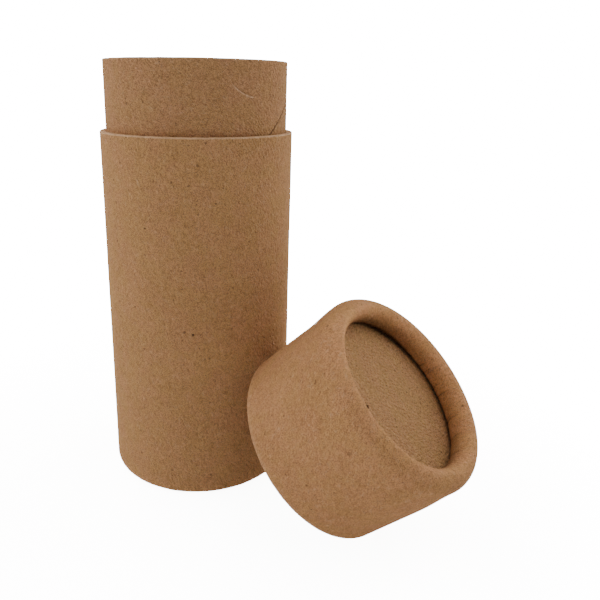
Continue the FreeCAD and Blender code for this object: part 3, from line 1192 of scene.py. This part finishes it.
def disc_surface(name, radius, thickness, upper, seed, dish, lip, crevice_shade_angle=0.0):
    """Die-cut disc: flat faces a little uneven and dished, and a rim with rounded corners.

    The section goes from the upper pole out to the rim, down it and back to the lower pole.
    The dish lowers the upper face by its depth times one less the square of the share of
    the radius, and the unevenness is only ever inwards. From about the radius lip, where a
    curled lip stands on it, the upper face gets painted shade, most of all about the given
    angle, where that also starts further in. Just inside the lip, 40 degrees before that
    angle, the upper face gets a little painted light.
    """
    corner = 0.2 * MM
    flat = spread(0.6 * MM, radius - corner, 46, lambda r: 1.0 + 3.0 * (r > radius - 1.5 * MM))
    turn = np.linspace(0.0, math.pi / 2.0, 6)[1:-1]
    side = np.linspace(-corner, corner - thickness, 5)
    out = np.concatenate([
        flat, radius - corner + corner * np.sin(turn), np.full(side.size, radius),
        radius - corner + corner * np.cos(turn), flat[::-1],
    ])[:, None]
    up = np.concatenate([
        np.zeros(flat.size), -corner + corner * np.cos(turn), side,
        corner - thickness - corner * np.sin(turn), np.full(flat.size, -thickness),
    ])[:, None]
    around = columns(300)
    share_out = out / radius
    rough = 0.02 * MM * (1.0 + unevenness(around, out, seed, 5, 9.0 * MM)) * share_out
    rough = rough * (1.0 - smooth_step(share_out, 0.93, 1.0))
    facing = 1.0 - 2.0 * smooth_step(-up, 0.3 * thickness, 0.7 * thickness)
    upper_face = facing > 0.0
    sunk = dish * (1.0 - share_out**2)
    up_now = up - facing * rough - sunk * upper_face + upper
    # painted shade on the upper face under the lip
    from_shade_angle = apart(around, crevice_shade_angle)
    dark = 0.4 + 0.45 * bell(from_shade_angle, 0.7)
    shade_from = lip - 0.1 * MM - 0.8 * MM * bell(from_shade_angle, 0.55)
    # painted light on the upper face just inside the lip
    inner_ring_light = bell(out - lip + 1.2 * MM, 0.9 * MM) * bell(apart(around, crevice_shade_angle - 0.7), 0.9)
    layers = {
        "wear_and_highlight": 1.0 - smooth_step(radius - out, 0.1 * MM, 0.5 * MM),
        "crease": dark * smooth_step(out, shade_from, shade_from + 0.35 * MM) * upper_face,
        "painted_light": 0.3 * inner_ring_light * upper_face,
        "ply": -up / thickness,
    }
    # the section runs outwards on top, so the rows are turned round to face outwards
    layers = {key: value[::-1] for key, value in layers.items()}
    points, edge_rows = turned(out, up_now, around)[::-1], (out > radius - 0.5 * corner)[::-1, 0]
    first, last = (0.0, 0.0, upper - thickness), (0.0, 0.0, upper - dish)
    return disc_mesh(name, points, first, last, layers, edge_rows)


class PUSHUP_OT_cap_floor(bpy.types.Operator):
    """Cut the disc that closes the cap and lay it in the cap's recess"""

    bl_idname = "push_up_tube.cap_floor"
    bl_label = "Cap Floor"

    def execute(self, context):
        """Lay the disc at the cap's height less its recess."""
        sizes, finish = context.scene.push_up_tube.cap, context.scene.push_up_tube.finish
        level = sizes.height - sizes.recess
        mesh = disc_surface(
            "cap_floor", sizes.radius - sizes.wall, sizes.disc, level, seed=41, dish=0.08 * MM,
            lip=cap_strip(sizes).end_radius(), crevice_shade_angle=sizes.crevice_shade_angle,
        )
        speck = np.array([-8.85 * MM, 2.51 * MM, level - 0.07 * MM]) @ CAP_AXES + CAP_OPEN_END
        lay_down(mesh, sizes)
        specks = [(speck, 0.45 * MM, 0.85)]
        board = board_material("disc_board", finish, finish.disc, lie=0.3, tooth=1.3, specks=specks)
        add_piece(mesh, "tube", "cap_disc", board, finish)
        return {"FINISHED"}


def collar_strip(sizes):
    """Path of the collar's board, from its lower rim over the crest to the end of the lip."""
    height, recess = sizes.crest - sizes.base, sizes.crest - sizes.plate_top
    return curled_strip(sizes, sizes.base, height, recess, corner=0.2 * MM)


class PUSHUP_OT_push_up_collar(bpy.types.Operator):
    """Wind the collar of the push-up piece, curled in over its plate"""

    bl_idname = "push_up_tube.push_up_collar"
    bl_label = "Push-Up Collar"

    def execute(self, context):
        """Pleat the board towards its lip.

        A pleat is an unevenness held above 0 and deepened by a smooth step towards the lip.
        """
        sizes, finish = context.scene.push_up_tube.push_up, context.scene.push_up_tube.finish
        strip = collar_strip(sizes)
        sheet = Sheet(strip, strip.rows(54), strip.rows(34), columns(400), cut_rows=5)
        along, on_outside = sheet.along, sheet.on_outside
        gathered = smooth_step(along, strip.begin[2], strip.length)
        fine = sheet.uneven(seed=51, turns=110, wavelength=50.0 * MM, waves=30)
        pleat = 0.03 * MM * gathered * np.maximum(0.6 + fine, 0.0)
        bitten = sheet.bitten(0.04 * MM, seed=52, turns=40)
        layers = {
            "wear_and_highlight": sheet.worn(0),
            # painted shade along the pleats' folds
            "crease": 0.45 * gathered * on_outside * smooth_step(fine, 0.5, 1.0),
            # painted light and shade on the curl
            "painted_light": curl_painted_light(sheet),
        }
        mesh = sheet.mesh(
            "push_up_collar", sizes.radius, along + sheet.near * bitten,
            sheet.across + on_outside * pleat, layers,
        )
        board = board_material("push_up_board", finish, finish.neck, lie=1.3)
        add_piece(mesh, "push_up", "push_up_ring", board, finish)
        return {"FINISHED"}


class PUSHUP_OT_push_up_plate(bpy.types.Operator):
    """Cut the plate that carries the product"""

    bl_idname = "push_up_tube.push_up_plate"
    bl_label = "Push-Up Plate"

    def execute(self, context):
        """Set the plate under the end of the collar's lip."""
        sizes, finish = context.scene.push_up_tube.push_up, context.scene.push_up_tube.finish
        mesh = disc_surface(
            "push_up_plate", sizes.radius - sizes.wall, sizes.plate, sizes.plate_top, seed=61,
            dish=0.05 * MM, lip=collar_strip(sizes).end_radius(),
        )
        board = board_material("plate_board", finish, finish.disc, lie=0.9)
        add_piece(mesh, "push_up", "push_up_disc", board, finish)
        return {"FINISHED"}


# ----------------------------------------------------------------------------------- stage


def placed(item, place, *axes):
    """Put an object in the scene with its x, y and z axes along three directions."""
    turn = Matrix(np.stack(axes, axis=1).tolist()).to_4x4()
    item.matrix_world = Matrix.Translation(place) @ turn
    bpy.context.scene.collection.objects.link(item)


def soft_light(name, azimuth, elevation, power, size=0.45, distance=0.6):
    """Square area light that faces the object from an azimuth and elevation, in degrees.

    Azimuth 0 is in front and 90 at the right. With back pointing from the object to the
    light, its z axis is back and its x axis is level.
    """
    turn, rise = math.radians(azimuth), math.radians(elevation)
    back = np.array([
        math.sin(turn) * math.cos(rise), -math.cos(turn) * math.cos(rise), math.sin(rise)
    ])
    level = np.array([math.cos(turn), math.sin(turn), 0.0])
    lamp = bpy.data.lights.new(name, "AREA")
    lamp.shape, lamp.size, lamp.energy = "SQUARE", size, power
    aim = np.array([0.02, -0.01, 0.05])
    holder = bpy.data.objects.new(name, lamp)
    placed(holder, aim + back * distance, level, np.cross(back, level), back)


class PUSHUP_OT_stage(bpy.types.Operator):
    """Set up the floor, the lights and the camera"""

    bl_idname = "push_up_tube.stage"
    bl_label = "Stage"

    def execute(self, context):
        """Lay the floor, empty the room, and set up five lights and the camera."""
        stage = context.scene.push_up_tube.stage
        self.floor(stage.white, stage.glow)
        self.room(context.scene, stage.white)
        soft_light("key_light", 225.0, 31.0, stage.key, 0.65)
        soft_light("fill_light", 285.0, 31.0, stage.fill, 0.65)
        soft_light("high_light", 79.0, 56.0, stage.high, 0.7)
        soft_light("side_light", 90.0, 12.0, stage.side)
        soft_light("back_light", 135.0, 12.0, stage.back)
        self.camera(context.scene, stage)
        return {"FINISHED"}

    @staticmethod
    def floor(white, glow):
        """Wide white floor, with a soft contact shadow near the object.

        The camera sees a mix of the lit floor and an even white. The lit floor's share falls
        to nothing away from the object, so that the floor meets the room without a line.
        From below the floor is not seen.
        """
        mesh = bpy.data.meshes.new("floor")
        half = 60.0
        corners = [(-half, -half, 0.0), (half, -half, 0.0), (half, half, 0.0), (-half, half, 0.0)]
        mesh.from_pydata(corners, [], [(0, 1, 2, 3)])
        floor = bpy.data.objects.new("floor", mesh)
        bpy.context.scene.collection.objects.link(floor)
        wiring, material = new_material("floor_white")
        glowing = wiring.add("ShaderNodeEmission", {"Strength": glow}, name="floor_glow").outputs[0]
        plain = wiring.add("ShaderNodeBsdfDiffuse", {"Color": (0.8, 0.8, 0.8, 1.0)}).outputs[0]
        plain = wiring.add("ShaderNodeAddShader", {0: plain, 1: glowing}).outputs[0]
        lit = wiring.add("ShaderNodeBsdfDiffuse", {"Color": (9.0, 9.0, 9.0, 1.0)}).outputs[0]
        even = wiring.add("ShaderNodeEmission", {"Strength": white}).outputs[0]
        clear = wiring.add("ShaderNodeBsdfTransparent").outputs[0]
        away = wiring.vector("LENGTH", wiring.object_place())[1]
        seen = wiring.shader_mix(wiring.ramp(away, 0.06, 0.2, 0.5, 1.0), lit, even)
        to_camera = wiring.add("ShaderNodeLightPath").outputs["Is Camera Ray"]
        above = wiring.shader_mix(to_camera, plain, seen)
        under = wiring.add("ShaderNodeNewGeometry").outputs["Backfacing"]
        wiring.finish("ShaderNodeOutputMaterial", wiring.shader_mix(under, above, clear))
        mesh.materials.append(material)

    @staticmethod
    def room(scene, white):
        """Empty room: white to the camera and unlit, so that only the soft lights shine."""
        world = bpy.data.worlds.new("room")
        world.use_nodes = True
        world.node_tree.nodes.clear()
        wiring = Wiring(world.node_tree)
        wide = {"Color": (1.0, 1.0, 1.0, 1.0)}
        dark = wiring.add("ShaderNodeBackground", {**wide, "Strength": 0.02}).outputs[0]
        seen = wiring.add("ShaderNodeBackground", {**wide, "Strength": white}).outputs[0]
        to_camera = wiring.add("ShaderNodeLightPath").outputs["Is Camera Ray"]
        wiring.finish("ShaderNodeOutputWorld", wiring.shader_mix(to_camera, dark, seen))
        scene.world = world

    @staticmethod
    def camera(scene, stage):
        """Camera in front of the tube, turned right, pitched down and rolled, in that order."""
        turn, pitch, roll = stage.camera_turn, stage.camera_pitch, stage.camera_roll
        ahead = np.array([
            math.sin(turn) * math.cos(pitch), math.cos(turn) * math.cos(pitch), -math.sin(pitch)
        ])
        right = np.array([math.cos(turn), -math.sin(turn), 0.0])
        down = np.cross(ahead, right)
        rolled_right = math.cos(roll) * right + math.sin(roll) * down
        rolled_down = -math.sin(roll) * right + math.cos(roll) * down
        camera = bpy.data.objects.new("camera", bpy.data.cameras.new("camera"))
        camera.data.lens = stage.camera_lens
        camera.data.shift_x, camera.data.shift_y = 0.0528, -0.0523
        camera.data.clip_start, camera.data.clip_end = 0.01, 200.0
        place = (0.0, -stage.camera_distance, stage.camera_height)
        placed(camera, place, rolled_right, -rolled_down, -ahead)
        scene.camera = camera


# --------------------------------------------------------------------------------- add-on

PIECES = (
    PUSHUP_OT_outer_sleeve, PUSHUP_OT_neck_sleeve, PUSHUP_OT_cap_board, PUSHUP_OT_cap_floor,
    PUSHUP_OT_push_up_collar, PUSHUP_OT_push_up_plate, PUSHUP_OT_stage,
)
GROUPS = (
    PUSHUP_PG_sleeves, PUSHUP_PG_cap, PUSHUP_PG_push_up, PUSHUP_PG_finish, PUSHUP_PG_stage,
    PUSHUP_PG_settings,
)


class PUSHUP_PT_panel(bpy.types.Panel):
    """Sizes, colours and makers of the pieces"""

    bl_idname = "PUSHUP_PT_panel"
    bl_label = "Push-Up Tube"
    bl_space_type = "VIEW_3D"
    bl_region_type = "UI"
    bl_category = "Push-Up Tube"

    def draw(self, context):
        """List every setting, then the makers."""
        settings = context.scene.push_up_tube
        for name in ("sleeves", "cap", "push_up", "finish", "stage"):
            box = self.layout.box()
            group = getattr(settings, name)
            box.label(text=name.replace("_", " ").title())
            for prop in type(group).__annotations__:
                box.prop(group, prop)
        for piece in PIECES:
            self.layout.operator(piece.bl_idname)


def register():
    """Adds the classes and the settings."""
    for kind in (*GROUPS, *PIECES, PUSHUP_PT_panel):
        bpy.utils.register_class(kind)
    bpy.types.Scene.push_up_tube = PointerProperty(type=PUSHUP_PG_settings)


def unregister():
    """Takes the settings and the classes away again."""
    del bpy.types.Scene.push_up_tube
    for kind in reversed((*GROUPS, *PIECES, PUSHUP_PT_panel)):
        bpy.utils.unregister_class(kind)


def main():
    """Makes every piece and the stage."""
    register()
    for piece in PIECES:
        make = getattr(bpy.ops.push_up_tube, piece.bl_idname.split(".")[1])
        make()


if __name__ == "__main__":
    main()
